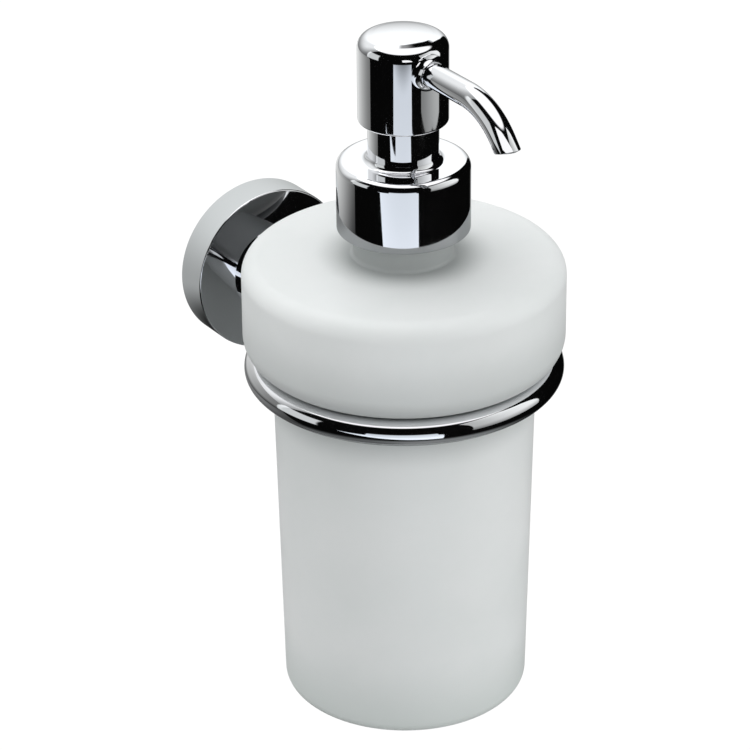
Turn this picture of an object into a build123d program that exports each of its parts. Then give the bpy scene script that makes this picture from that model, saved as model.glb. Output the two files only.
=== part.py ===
from build123d import *
import os
from math import cos, hypot, radians, sin, sqrt

# Wall mounted soap dispenser: rosette and arm, wire ring, glass bottle and press pump.
# Millimetres. The origin is the centre of the rosette's back, on the wall.
# The wall is the plane Y = 0, the dispenser stands out of it along -Y, and +Z is up.

# Fits, all radial or face to face
tight_gap = 0.02          # parts pushed or screwed together
slip_gap = 0.05           # parts that slide over each other when fitted
run_gap = 0.06            # piston and stem running in their bores

# Wall plate and rosette
rosette_dia = 47.0
rosette_depth = 9.6
rosette_wall = 2.0
rosette_face = 2.4
rosette_edge = 0.4
plate_web = 3.0
plate_gap = 1.2           # plate's rim to the inside of the rosette's face
plate_rim_wall = 2.6
plate_bore_dia = 14.0
wall_hole_dia = 5.0
wall_hole_spacing = 27.0
grub_dia = 4.0
grub_length = 4.5
grub_key_depth = 2.0
grub_key_flats = 2.0

# Arm
arm_length = 21.4         # rosette's face to the arm's end
arm_base_dia = 24.0
arm_end_dia = 19.2
arm_end_round = 2.5
arm_drum_gap = 1.0        # arm's end to the side of the bottle
arm_screw_dia = 6.0
screw_stud_gap = 1.4      # arm screw's end to the ring stud
arm_screw_head_dia = 10.5
arm_screw_head = 2.6
arm_screw_key_flats = 4.0
arm_screw_key_depth = 1.6
arm_dowel_dia = 3.0
arm_dowel_reach = 4.0
arm_dowel_edge = 3.0      # dowel to the side of the arm

# Ring
ring_mean_dia = 78.5
ring_wire_dia = 7.0
ring_drop = 2.0           # ring below the arm's axis
nose_dia = 6.0
stud_dia = 4.0
stud_in_ring = 4.0
stud_in_arm = 8.0

# Bottle
seat_gap = 0.25           # glass to wire, where the bottle sits
cup_gap = 0.4             # cup to the inside of the ring
drum_overhang = 0.25      # drum beyond the outside of the ring
under_flat = 0.65
drum_wall_height = 16.35
drum_top_round = 5.0
crown_ease = 0.4
crown_drop = 1.6
crown_radius = 110.0
cup_depth = 99.9
cup_taper = 2.2           # loss of radius down the cup
base_round = 3.5
base_push = 1.5
base_rim_width = 9.0
glass_wall = 3.0
neck_dia = 26.8
neck_wall = 2.6
neck_height = 21.2
neck_round = 1.0
lip_round = 0.7

# Pump body
gasket_height = 1.2
gasket_inset = 0.3
flange_height = 1.4
flange_inset = 0.4
housing_bore = 9.8
housing_wall = 1.3
plug_height = 6.0
bush_neck_wall = 0.4
lock_gap = 0.1
lock_height = 1.2
piston_gap = 0.3
piston_height = 5.0
piston_lip = 1.2
piston_waist = 0.8
foot_height = 2.0
foot_gap = 0.7            # foot to the housing's bore
stem_dia = 6.0
stem_bore = 2.6
spring_length = 22.0
spring_wire = 1.0
spring_gap = 0.7          # spring to the housing's bore
spring_turns = 6
cage_height = 1.5
cage_hole_dia = 2.8
cage_slot_width = 1.6
cage_slots = 4
inlet_ball_dia = 4.4
inlet_lift = 1.5
inlet_bore = 2.4
ball_side_gap = 0.6
ball_seat_gap = 0.1
chamber_wall = 1.4
seat_floor = 1.2
socket_depth = 6.0
dip_dia = 5.5
dip_bore = 3.5
dip_clear = 4.0
dip_cut_angle = 35.0

# Collar
web_height = 1.2
web_play = 0.2
thread_gap = 0.5
closure_wall = 2.7
closure_inset = 0.5
collar_wall = 1.0
collar_roof = 1.4
collar_height = 19.3
collar_round = 2.0
sleeve_dia = 18.74
sleeve_wall = 1.05
sleeve_fillet = 1.8
sleeve_overlap = 2.4
lock_side_gap = 0.3

# Head and spout
press_stroke = 9.0
stop_gap = 0.45
head_gap = 0.73
head_wall = 1.8
head_roof = 1.6
head_rise = 1.5           # dome above its own edge
head_round = 3.4
head_lip = 0.6
insert_height = 9.4
insert_boss_dia = 10.0
insert_boss_height = 8.0
stem_in_insert = 2.6      # above the boss
outlet_ball_dia = 3.0
outlet_lift = 1.5
spout_rise = 5.05         # spout's axis above the underside of the core
spout_dia = 6.66
spout_bore = 4.4
spout_root = 4.5
spout_straight = 28.3     # bottle's axis to the start of the bend
spout_bend = 20.5
spout_bend_angle = 49.0
spout_tail = 3.1
tip_angle = 22.0          # end cut, off square
ferrule_flare = 1.5
ferrule_lip = 0.15

# Radii
rosette_r = rosette_dia / 2
plate_r = rosette_r - rosette_wall - slip_gap
ring_r = ring_mean_dia / 2
wire_r = ring_wire_dia / 2
drum_r = ring_r + wire_r + drum_overhang
cup_top_r = ring_r - wire_r - cup_gap
cup_base_r = cup_top_r - cup_taper
drum_round = drum_r - cup_top_r - under_flat
neck_r = neck_dia / 2
neck_bore_r = neck_r - neck_wall
bore_r = housing_bore / 2
housing_r = bore_r + housing_wall
flange_r = neck_r - flange_inset
lip_r = bore_r - run_gap
foot_r = bore_r - foot_gap
coil_r = bore_r - spring_gap - spring_wire / 2
stem_r = stem_dia / 2
bush_neck_r = bore_r + bush_neck_wall
ball_r = inlet_ball_dia / 2
chamber_r = ball_r + ball_side_gap
dip_r = dip_dia / 2
tail_r = dip_r + chamber_wall
closure_bore_r = neck_r + thread_gap
closure_r = closure_bore_r + closure_wall
collar_r = closure_r + slip_gap + collar_wall
sleeve_r = sleeve_dia / 2
sleeve_bore_r = sleeve_r - sleeve_wall
lock_r = sleeve_bore_r - lock_side_gap
web_hole_r = bush_neck_r + lock_side_gap
head_bore_r = sleeve_r + head_gap
head_r = head_bore_r + head_wall
boss_r = insert_boss_dia / 2
outlet_r = outlet_ball_dia / 2
spout_r = spout_dia / 2
ferrule_r = spout_r + tight_gap + ferrule_lip + ferrule_flare

# Distances from the wall
plate_rim_depth = rosette_depth - rosette_face - plate_gap
arm_end = rosette_depth + arm_length
arm_screw_reach = arm_length - stud_in_arm - screw_stud_gap
arm_dowel_offset = (arm_base_dia - arm_dowel_dia) / 2 - arm_dowel_edge
wall_to_axis = arm_end + arm_drum_gap + drum_r
ring_near = wall_to_axis - ring_r - wire_r
ring_line = wall_to_axis - ring_r

# Heights above the ring's plane, from the seat upwards
seat_z = sqrt((wire_r + drum_round + seat_gap) ** 2 - (drum_r - drum_round - ring_r) ** 2)
under_z = seat_z - drum_round
base_z = under_z - cup_depth
edge_z = seat_z + drum_wall_height + drum_top_round
crown_z = edge_z + crown_drop
lip_z = crown_z + neck_height
flange_z = lip_z + gasket_height
flange_top_z = flange_z + flange_height
web_z = flange_top_z + web_play
web_top_z = web_z + web_height
collar_top_z = web_top_z + collar_roof
collar_z = collar_top_z - collar_height
head_z = collar_top_z + sleeve_fillet + stop_gap + press_stroke
sleeve_top_z = head_z + sleeve_overlap
core_z = sleeve_top_z + press_stroke + stop_gap
core_top_z = core_z + insert_height
head_edge_z = core_top_z + head_roof
head_top_z = head_edge_z + head_rise
spout_z = core_z + spout_rise
stem_top_z = core_z + stem_in_insert
outlet_seat = sqrt(outlet_r ** 2 - (stem_bore / 2) ** 2)
outlet_z = stem_top_z + outlet_seat + ball_seat_gap

# Heights down the pump body
plug_z = flange_top_z - plug_height
lock_z = web_top_z + lock_gap
piston_top_z = plug_z - piston_gap
piston_z = piston_top_z - piston_height
foot_z = piston_z - foot_height
cage_top_z = foot_z - spring_length
ledge_z = cage_top_z - cage_height
inlet_z = ledge_z - inlet_lift - ball_r
seat_apex_z = inlet_z - (ball_r + ball_seat_gap) * sqrt(2)
cone_top_z = seat_apex_z + chamber_r
cone_z = seat_apex_z + inlet_bore / 2
socket_z = cone_z - seat_floor
tail_z = socket_z - socket_depth
dip_end_z = base_z + glass_wall + base_push + dip_clear

# Planes and axes. Outlines on a plane are drawn as (radius, height).
bottle_plane = Plane((0, -wall_to_axis, -ring_drop), x_dir=(1, 0, 0), z_dir=(0, -1, 0))
bottle_axis = Axis((0, -wall_to_axis, 0), (0, 0, 1))
arm_plane = Plane((0, 0, 0), x_dir=(1, 0, 0), z_dir=(0, 0, -1))
spout_plane = Plane((0, -wall_to_axis, spout_z - ring_drop), x_dir=(0, -1, 0), z_dir=(-1, 0, 0))
spout_axis = Axis((0, -wall_to_axis, spout_z - ring_drop), (0, -1, 0))


def outline(plane, *corners):
    """Closed outline through (radius, height, corner round) on a plane."""
    with BuildSketch(plane) as sketch:
        with BuildLine():
            FilletPolyline([c[:2] for c in corners], radius=[c[2] for c in corners], close=True)
        make_face()
    return sketch.sketch


def disc(plane, diameter, x=0.0, y=0.0):
    """Round section on a plane."""
    with BuildSketch(plane) as sketch:
        with Locations((x, y)):
            Circle(diameter / 2)
    return sketch.sketch


def hexagon(plane, flats):
    """Key socket, measured across its flats."""
    with BuildSketch(plane) as sketch:
        RegularPolygon(flats / 2, 6, major_radius=False)
    return sketch.sketch


def from_wall(distance, x=0.0, z=0.0):
    """Plane parallel to the wall, at a distance from it, facing outwards."""
    return Plane((x, -distance, z), x_dir=(1, 0, 0), z_dir=(0, -1, 0))


def at_height(height):
    """Level plane on the bottle's axis, at a height above the ring."""
    return Plane((0, -wall_to_axis, height - ring_drop))


def out_of_head(distance):
    """Plane square to the spout's straight run, at a distance from the bottle's axis."""
    return Plane((0, -wall_to_axis - distance, spout_z - ring_drop), x_dir=(1, 0, 0), z_dir=(0, -1, 0))


os.makedirs("parts", exist_ok=True)

# Wall plate: shallow cast dish with a rim that the rosette slips over.
plate_rim_r = plate_r - plate_rim_wall
under_wall = Plane((0, -plate_rim_depth / 2, 0), x_dir=(1, 0, 0), z_dir=(0, 0, -1))
with BuildPart() as wall_plate:
    revolve(outline(
        arm_plane,
        (plate_bore_dia / 2, 0, 0),
        (plate_r, 0, 0),
        (plate_r, plate_rim_depth, 0.5),
        (plate_rim_r, plate_rim_depth, 0.5),
        (plate_rim_r, plate_web, 0.5),
        (plate_bore_dia / 2, plate_web, 0),
    ), axis=Axis.Y)
    for side in (-1, 1):
        extrude(disc(from_wall(0, side * wall_hole_spacing / 2), wall_hole_dia),
                amount=plate_web, mode=Mode.SUBTRACT)
    extrude(disc(under_wall, grub_dia + 2 * tight_gap), amount=rosette_r, mode=Mode.SUBTRACT)
wall_plate.part.label = "wall_plate"
export_step(wall_plate.part, "parts/wall_plate.step")

# Rosette: turned cup, open to the wall.
with BuildPart() as rosette:
    revolve(outline(
        arm_plane,
        (rosette_r - rosette_wall, 0, 0),
        (rosette_r, 0, 0),
        (rosette_r, rosette_depth, rosette_edge),
        (0, rosette_depth, 0),
        (0, rosette_depth - rosette_face, 0),
        (rosette_r - rosette_wall, rosette_depth - rosette_face, 0.8),
    ), axis=Axis.Y)
    extrude(disc(from_wall(0), arm_screw_dia + 2 * tight_gap), amount=rosette_depth, mode=Mode.SUBTRACT)
    extrude(disc(from_wall(0, z=arm_dowel_offset), arm_dowel_dia + 2 * tight_gap),
            amount=rosette_depth, mode=Mode.SUBTRACT)
    extrude(disc(under_wall, grub_dia + 2 * tight_gap), amount=rosette_r, mode=Mode.SUBTRACT)
rosette.part.label = "rosette"
export_step(rosette.part, "parts/rosette.step")

# Grub screw: its point stands in the plate's rim and its key socket opens downwards.
grub_plane = Plane((0, -plate_rim_depth / 2, -rosette_r + 2 * tight_gap), x_dir=(1, 0, 0), z_dir=(0, 0, 1))
with BuildPart() as grub_screw:
    extrude(disc(grub_plane, grub_dia), amount=grub_length)
    chamfer(grub_screw.faces().sort_by(Axis.Z)[-1].edges(), 0.5)
    extrude(hexagon(grub_plane, grub_key_flats), amount=grub_key_depth, mode=Mode.SUBTRACT)
grub_screw.part.label = "grub_screw"
export_step(grub_screw.part, "parts/grub_screw.step")

# Arm: tapering stem with a rounded end, and a nose that is coped to the wire of the ring.
screw_seat = rosette_depth - rosette_face
with BuildPart() as arm:
    revolve(outline(
        arm_plane,
        (0, rosette_depth, 0),
        (arm_base_dia / 2, rosette_depth, 0),
        (arm_end_dia / 2, arm_end, arm_end_round),
        (0, arm_end, 0),
    ), axis=Axis.Y)
    extrude(disc(from_wall(arm_end - arm_end_round, z=-ring_drop), nose_dia),
            amount=ring_line - arm_end + arm_end_round)
    revolve(disc(bottle_plane, ring_wire_dia + 2 * tight_gap, x=ring_r), axis=bottle_axis, mode=Mode.SUBTRACT)
    extrude(disc(from_wall(arm_end - stud_in_arm, z=-ring_drop), stud_dia + 2 * tight_gap),
            amount=ring_line - arm_end + stud_in_arm, mode=Mode.SUBTRACT)
    extrude(disc(from_wall(0), arm_screw_dia + 2 * tight_gap),
            amount=rosette_depth + arm_screw_reach + tight_gap, mode=Mode.SUBTRACT)
    extrude(disc(from_wall(0, z=arm_dowel_offset), arm_dowel_dia + 2 * tight_gap),
            amount=rosette_depth + arm_dowel_reach + tight_gap, mode=Mode.SUBTRACT)
arm.part.label = "arm"
export_step(arm.part, "parts/arm.step")

# Arm screw: low cap head inside the rosette, shank in the arm.
with BuildPart() as arm_screw:
    extrude(disc(from_wall(screw_seat - arm_screw_head), arm_screw_head_dia), amount=arm_screw_head)
    extrude(disc(from_wall(screw_seat), arm_screw_dia), amount=rosette_face + arm_screw_reach)
    extrude(hexagon(from_wall(screw_seat - arm_screw_head), arm_screw_key_flats),
            amount=arm_screw_key_depth, mode=Mode.SUBTRACT)
    chamfer(arm_screw.faces().sort_by(Axis.Y)[0].edges(), 0.6)
arm_screw.part.label = "arm_screw"
export_step(arm_screw.part, "parts/arm_screw.step")

# Dowel between rosette and arm.
with BuildPart() as arm_dowel:
    extrude(disc(from_wall(screw_seat, z=arm_dowel_offset), arm_dowel_dia), amount=rosette_face + arm_dowel_reach)
    chamfer(arm_dowel.edges().filter_by(GeomType.CIRCLE), 0.3)
arm_dowel.part.label = "arm_dowel"
export_step(arm_dowel.part, "parts/arm_dowel.step")

# Ring of round wire, with a socket for the stud.
with BuildPart() as holder_ring:
    revolve(disc(bottle_plane, ring_wire_dia, x=ring_r), axis=bottle_axis)
    extrude(disc(from_wall(ring_near - wire_r, z=-ring_drop), stud_dia + 2 * tight_gap),
            amount=wire_r + stud_in_ring, mode=Mode.SUBTRACT)
holder_ring.part.label = "holder_ring"
export_step(holder_ring.part, "parts/holder_ring.step")

# Stud between ring and arm.
with BuildPart() as ring_stud:
    extrude(disc(from_wall(arm_end - stud_in_arm + tight_gap, z=-ring_drop), stud_dia),
            amount=ring_near + stud_in_ring - arm_end + stud_in_arm - 2 * tight_gap)
    chamfer(ring_stud.edges().filter_by(GeomType.CIRCLE), 0.3)
ring_stud.part.label = "ring_stud"
export_step(ring_stud.part, "parts/ring_stud.step")

# Bottle: blown glass of even wall, wide drum over a tapering cup, with a pushed-up base.
crown_mid_r = (neck_r + drum_r) / 2
base_rim_r = cup_base_r - base_rim_width
drum_in_r = drum_r - glass_wall
ledge_in_z = under_z + glass_wall
with BuildPart() as bottle:
    revolve(outline(
        bottle_plane,
        (0, base_z + base_push, 0),
        (base_rim_r, base_z, 0),
        (cup_base_r, base_z, base_round),
        (cup_top_r, under_z, under_flat / 2),
        (drum_r, under_z, drum_round),
        (drum_r, edge_z, drum_top_round),
        (crown_mid_r, crown_z - crown_ease, crown_radius),
        (neck_r, crown_z, neck_round),
        (neck_r, lip_z, lip_round),
        (neck_bore_r, lip_z, lip_round),
        (neck_bore_r, crown_z - glass_wall, glass_wall / 2),
        (drum_in_r, edge_z - glass_wall, glass_wall / 2),
        (drum_in_r, ledge_in_z, drum_round / 2),
        (cup_top_r - glass_wall, ledge_in_z, glass_wall / 2),
        (cup_base_r - glass_wall, base_z + glass_wall, base_round),
        (base_rim_r, base_z + glass_wall, 0),
        (0, base_z + base_push + glass_wall, 0),
    ), axis=bottle_axis)
bottle.part.label = "bottle"
export_step(bottle.part, "parts/bottle.step")

# Gasket on the lip of the neck.
with BuildPart() as neck_gasket:
    revolve(outline(
        bottle_plane,
        (neck_bore_r + gasket_inset, lip_z, 0),
        (flange_r, lip_z, 0),
        (flange_r, flange_z, 0),
        (neck_bore_r + gasket_inset, flange_z, 0),
    ), axis=bottle_axis)
neck_gasket.part.label = "neck_gasket"
export_step(neck_gasket.part, "parts/neck_gasket.step")

# Pump housing: moulded cylinder hung from its flange, with the inlet valve seat and dip tube socket below.
chamber_out_r = max(chamber_r, dip_r) + chamber_wall
with BuildPart() as pump_housing:
    revolve(outline(
        bottle_plane,
        (bore_r, flange_top_z, 0),
        (flange_r, flange_top_z, 0),
        (flange_r, flange_z, 0),
        (housing_r, flange_z, 0.8),
        (housing_r, ledge_z, 1.0),
        (chamber_out_r, ledge_z - housing_r + chamber_out_r, 0.5),
        (chamber_out_r, cone_z, 0),
        (tail_r, socket_z, 0),
        (tail_r, tail_z, 0),
        (dip_r + tight_gap, tail_z, 0),
        (dip_r + tight_gap, socket_z, 0),
        (inlet_bore / 2, socket_z, 0),
        (inlet_bore / 2, cone_z, 0),
        (chamber_r, cone_top_z, 0),
        (chamber_r, ledge_z, 0),
        (bore_r, ledge_z, 0),
    ), axis=bottle_axis)
pump_housing.part.label = "pump_housing"
export_step(pump_housing.part, "parts/pump_housing.step")

# Guide bush: plugs the housing, guides the stem and holds the collar captive under its lock rim.
with BuildPart() as guide_bush:
    revolve(outline(
        bottle_plane,
        (stem_r + run_gap, plug_z, 0),
        (bore_r - tight_gap, plug_z, 0.4),
        (bore_r - tight_gap, flange_top_z, 0),
        (bush_neck_r, flange_top_z, 0),
        (bush_neck_r, lock_z, 0),
        (lock_r, lock_z, 0),
        (lock_r, lock_z + lock_height, 0.4),
        (stem_r + run_gap, lock_z + lock_height, 0),
    ), axis=bottle_axis)
guide_bush.part.label = "guide_bush"
export_step(guide_bush.part, "parts/guide_bush.step")

# Ball cage: holed disc on the housing's ledge, under the spring.
with BuildPart() as ball_cage:
    revolve(outline(
        bottle_plane,
        (cage_hole_dia / 2, ledge_z, 0),
        (bore_r - tight_gap, ledge_z, 0),
        (bore_r - tight_gap, cage_top_z, 0.3),
        (cage_hole_dia / 2, cage_top_z, 0),
    ), axis=bottle_axis)
    with BuildSketch(at_height(ledge_z)):
        with PolarLocations(cage_hole_dia / 2, cage_slots):
            Rectangle(chamber_r - cage_slot_width / 2, cage_slot_width)
    extrude(amount=cage_height, mode=Mode.SUBTRACT)
ball_cage.part.label = "ball_cage"
export_step(ball_cage.part, "parts/ball_cage.step")

# Dip tube: from its socket to just above the base, cut at a slant.
with BuildPart() as dip_tube:
    with BuildSketch(at_height(dip_end_z)):
        Circle(dip_r)
        Circle(dip_bore / 2, mode=Mode.SUBTRACT)
    extrude(amount=socket_z - tight_gap - dip_end_z)
    slant = Plane((0, -wall_to_axis, dip_end_z + dip_r - ring_drop),
                  z_dir=(0, -sin(radians(dip_cut_angle)), cos(radians(dip_cut_angle))))
    split(bisect_by=slant, keep=Keep.TOP)
dip_tube.part.label = "dip_tube"
export_step(dip_tube.part, "parts/dip_tube.step")

# Return spring: half turns that meet in line at each side, so the wire runs smoothly from end to end.
coil_low = cage_top_z + spring_wire / 2 + tight_gap - ring_drop
coil_step = (spring_length - spring_wire - 2 * tight_gap) / (2 * spring_turns)
coil_bulge = hypot(coil_r, coil_step / 2)


def coil_point(half_turns, x):
    """Point of the spring's centre line on the X side of the bottle's axis."""
    return Vector(x, -wall_to_axis, coil_low + half_turns * coil_step)


with BuildPart() as return_spring:
    with BuildLine() as coil:
        for half in range(2 * spring_turns):
            side = 1 if half % 2 == 0 else -1
            crest = coil_point(half + 0.5, 0) + Vector(0, -side * coil_bulge, 0)
            ThreePointArc(coil_point(half, side * coil_r), crest, coil_point(half + 1, -side * coil_r))
    with BuildSketch(Plane(coil.line @ 0, z_dir=coil.line % 0)):
        Circle(spring_wire / 2)
    sweep(path=coil.line)
return_spring.part.label = "return_spring"
export_step(return_spring.part, "parts/return_spring.step")
turn_points = [coil.line @ (i / 600) for i in range(601)]
turn_skip = 600 // (2 * spring_turns)
coil_gap = min((a - b).length for i, a in enumerate(turn_points) for b in turn_points[i + turn_skip:])
print(f"return_spring least gap to itself {coil_gap - spring_wire:.2f} mm")

# Inlet ball.
with BuildPart() as inlet_ball:
    with Locations(at_height(inlet_z)):
        Sphere(ball_r)
inlet_ball.part.label = "inlet_ball"
export_step(inlet_ball.part, "parts/inlet_ball.step")

# Collar: chromed shell with a rounded shoulder and the sleeve that the head slides over.
with BuildPart() as collar:
    revolve(outline(
        bottle_plane,
        (collar_r - collar_wall, collar_z, 0),
        (collar_r, collar_z, 0.3),
        (collar_r, collar_top_z, collar_round),
        (sleeve_r, collar_top_z, sleeve_fillet),
        (sleeve_r, sleeve_top_z, 0.4),
        (sleeve_bore_r, sleeve_top_z, 0),
        (sleeve_bore_r, web_top_z, 0),
        (collar_r - collar_wall, web_top_z, 0.8),
    ), axis=bottle_axis)
collar.part.label = "collar"
export_step(collar.part, "parts/collar.step")

# Closure insert: moulded cap that screws on the neck, inside the collar.
with BuildPart() as closure_insert:
    revolve(outline(
        bottle_plane,
        (closure_bore_r, collar_z + closure_inset, 0.4),
        (closure_r, collar_z + closure_inset, 0),
        (closure_r, web_top_z - tight_gap, 1.0),
        (web_hole_r, web_top_z - tight_gap, 0),
        (web_hole_r, web_z, 0),
        (closure_bore_r, web_z, 0),
    ), axis=bottle_axis)
closure_insert.part.label = "closure_insert"
export_step(closure_insert.part, "parts/closure_insert.step")

# Piston stem: hollow rod with a foot under the piston.
with BuildPart() as piston_stem:
    revolve(outline(
        bottle_plane,
        (stem_bore / 2, foot_z, 0),
        (foot_r, foot_z, 0.4),
        (foot_r, piston_z, 0),
        (stem_r, piston_z, 0),
        (stem_r, stem_top_z, 0.3),
        (stem_bore / 2, stem_top_z, 0),
    ), axis=bottle_axis)
piston_stem.part.label = "piston_stem"
export_step(piston_stem.part, "parts/piston_stem.step")

# Piston: soft ring with two wiping lips.
with BuildPart() as piston:
    revolve(outline(
        bottle_plane,
        (stem_r + tight_gap, piston_z + tight_gap, 0),
        (lip_r, piston_z + tight_gap, 0),
        (lip_r, piston_z + piston_lip, 0),
        (lip_r - piston_waist, piston_z + piston_lip + piston_waist, 0),
        (lip_r - piston_waist, piston_top_z - piston_lip - piston_waist, 0),
        (lip_r, piston_top_z - piston_lip, 0),
        (lip_r, piston_top_z, 0),
        (stem_r + tight_gap, piston_top_z, 0),
    ), axis=bottle_axis)
piston.part.label = "piston"
export_step(piston.part, "parts/piston.step")

# Outlet ball, on the open top of the stem.
with BuildPart() as outlet_ball:
    with Locations(at_height(outlet_z)):
        Sphere(outlet_r)
outlet_ball.part.label = "outlet_ball"
export_step(outlet_ball.part, "parts/outlet_ball.step")

# Head shell: domed cap with a hole in its side for the spout.
inner_round = max(head_round - head_wall, head_lip)
dome_radius = (head_r ** 2 + head_rise ** 2) / (2 * head_rise)
with BuildPart() as head_shell:
    with BuildSketch(bottle_plane):
        with BuildLine():
            RadiusArc((0, head_top_z), (head_r, head_edge_z), dome_radius)
            Polyline((head_r, head_edge_z), (head_r, head_z), (head_bore_r, head_z),
                     (head_bore_r, core_top_z), (0, core_top_z), (0, head_top_z))
        face = make_face()
        fillet(face.vertices().sort_by_distance((head_r, head_edge_z))[0], head_round)
        fillet(face.vertices().sort_by_distance((head_r, head_z))[0], head_lip)
        fillet(face.vertices().sort_by_distance((head_bore_r, core_top_z))[0], inner_round)
    revolve(axis=bottle_axis)
    extrude(disc(out_of_head(0), spout_dia + 2 * tight_gap), amount=2 * head_r, mode=Mode.SUBTRACT)
head_shell.part.label = "head_shell"
export_step(head_shell.part, "parts/head_shell.step")

# Head insert: moulded core with the stem's socket, the outlet valve chamber and the way to the spout.
outlet_chamber_r = outlet_r + ball_side_gap
chamber_top_z = max(outlet_z + outlet_r + outlet_lift + ball_seat_gap, spout_z + spout_bore / 2)
with BuildPart() as head_insert:
    revolve(outline(
        bottle_plane,
        (stem_r + run_gap, core_z - insert_boss_height, 0),
        (boss_r, core_z - insert_boss_height, 0.4),
        (boss_r, core_z, 1.0),
        (head_bore_r - tight_gap, core_z, 0),
        (head_bore_r - tight_gap, core_top_z - tight_gap, inner_round),
        (0, core_top_z - tight_gap, 0),
        (0, chamber_top_z, 0),
        (outlet_chamber_r, chamber_top_z, 0),
        (outlet_chamber_r, stem_top_z + tight_gap, 0),
        (stem_r + run_gap, stem_top_z + tight_gap, 0),
    ), axis=bottle_axis)
    extrude(disc(out_of_head(0), spout_bore), amount=head_r, mode=Mode.SUBTRACT)
    extrude(disc(out_of_head(spout_root - tight_gap), spout_dia + 2 * tight_gap), amount=head_r, mode=Mode.SUBTRACT)
head_insert.part.label = "head_insert"
export_step(head_insert.part, "parts/head_insert.step")

# Spout: tube that runs level out of the head, bends down and is cut off at a slant.
with BuildPart() as spout:
    with BuildLine(spout_plane) as run:
        level = Line((spout_root, 0), (spout_straight, 0))
        bend = JernArc(level @ 1, level % 1, spout_bend, -spout_bend_angle)
        tail = Line(bend @ 1, bend @ 1 + (bend % 1) * (spout_tail + spout_dia))
    with BuildSketch(out_of_head(spout_root)):
        Circle(spout_r)
        Circle(spout_bore / 2, mode=Mode.SUBTRACT)
    sweep(path=run.line)
    tip = bend @ 1 + (bend % 1) * spout_tail
    lean = radians(spout_bend_angle + tip_angle)
    split(bisect_by=Plane(tip, z_dir=(0, -cos(lean), -sin(lean))), keep=Keep.BOTTOM)
spout.part.label = "spout"
export_step(spout.part, "parts/spout.step")

# Ferrule: flared ring round the spout, shaped to the side of the head.
flare_start = head_r - ferrule_r ** 2 / head_r
with BuildPart() as spout_ferrule:
    revolve(outline(
        spout_plane,
        (flare_start, spout_r + tight_gap, 0),
        (head_r + ferrule_flare, spout_r + tight_gap, 0),
        (head_r + ferrule_flare, spout_r + tight_gap + ferrule_lip, 0),
        (head_r, spout_r + tight_gap + ferrule_lip, ferrule_flare * 0.96),
        (head_r, ferrule_r, 0),
        (flare_start, ferrule_r, 0),
    ), axis=spout_axis)
    extrude(disc(at_height(head_z), 2 * (head_r + tight_gap)), amount=head_edge_z - head_z, mode=Mode.SUBTRACT)
spout_ferrule.part.label = "spout_ferrule"
export_step(spout_ferrule.part, "parts/spout_ferrule.step")
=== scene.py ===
"""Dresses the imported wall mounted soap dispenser: chromed bracket and pump, satin glass bottle, studio."""

from __future__ import annotations

import logging
import math
from dataclasses import dataclass, field
from enum import Enum
from typing import Sequence

import bpy
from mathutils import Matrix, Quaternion, Vector

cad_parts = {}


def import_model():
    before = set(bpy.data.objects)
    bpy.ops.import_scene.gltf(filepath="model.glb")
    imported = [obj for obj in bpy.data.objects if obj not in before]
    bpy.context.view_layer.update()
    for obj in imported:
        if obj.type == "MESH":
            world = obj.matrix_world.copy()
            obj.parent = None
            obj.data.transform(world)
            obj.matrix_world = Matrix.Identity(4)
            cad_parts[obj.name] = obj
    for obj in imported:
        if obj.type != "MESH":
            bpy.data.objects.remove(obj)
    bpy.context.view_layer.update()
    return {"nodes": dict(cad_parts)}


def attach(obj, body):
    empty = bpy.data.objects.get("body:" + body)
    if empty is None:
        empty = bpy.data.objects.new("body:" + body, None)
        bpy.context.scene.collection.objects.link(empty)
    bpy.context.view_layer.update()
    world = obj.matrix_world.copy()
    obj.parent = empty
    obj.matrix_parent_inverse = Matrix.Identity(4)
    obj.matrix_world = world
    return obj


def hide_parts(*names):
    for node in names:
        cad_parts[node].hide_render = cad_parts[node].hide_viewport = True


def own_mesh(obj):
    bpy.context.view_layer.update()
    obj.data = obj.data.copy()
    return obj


LOG = logging.getLogger("soap_dispenser")
MM = 0.001
FULL_TURN = 2 * math.pi
ARC_STEP = math.radians(6.0)
SUPPORT = 0.1
LONG_RUN = 8 * SUPPORT
SHARP_ANGLE = math.radians(38.0)
MERGE = 2e-6
DRILL_SIDES = 64

AXIS_OUT = 75.0
RING_DROP = 2.0
SPOUT_HEIGHT = 87.95

Piece = bpy.types.Object
Socket = bpy.types.NodeSocket
Point = tuple[float, float]
Span = tuple[float, float]
Colour = tuple[float, float, float]
# Start and end of a range, then the result at each of them
Fade = tuple[float, float, float, float]
# Start and end of a rise, then start and end of a fall
Hill = tuple[float, float, float, float]
WHITE: Colour = (1.0, 1.0, 1.0)


class Body(Enum):
    """Bodies of the model that the new pieces ride on."""

    BRACKET = "bracket"
    BOTTLE = "bottle"
    PUMP = "pump_body"
    COLLAR = "collar"
    HEAD = "head"


class Slot(Enum):
    """Material slots of the record."""

    CHROME = "chrome"
    GLASS = "satin_glass"
    PLASTIC = "white_plastic"
    TUBE = "clear_plastic"
    STEEL = "steel"
    ZINC = "plate_zinc"
    RUBBER = "gasket_rubber"


def metres(lengths: Sequence[float]) -> list[float]:
    """Turn millimetres into metres."""
    return [length * MM for length in lengths]


# Nodes, and the shader groups that the finishes share


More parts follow.
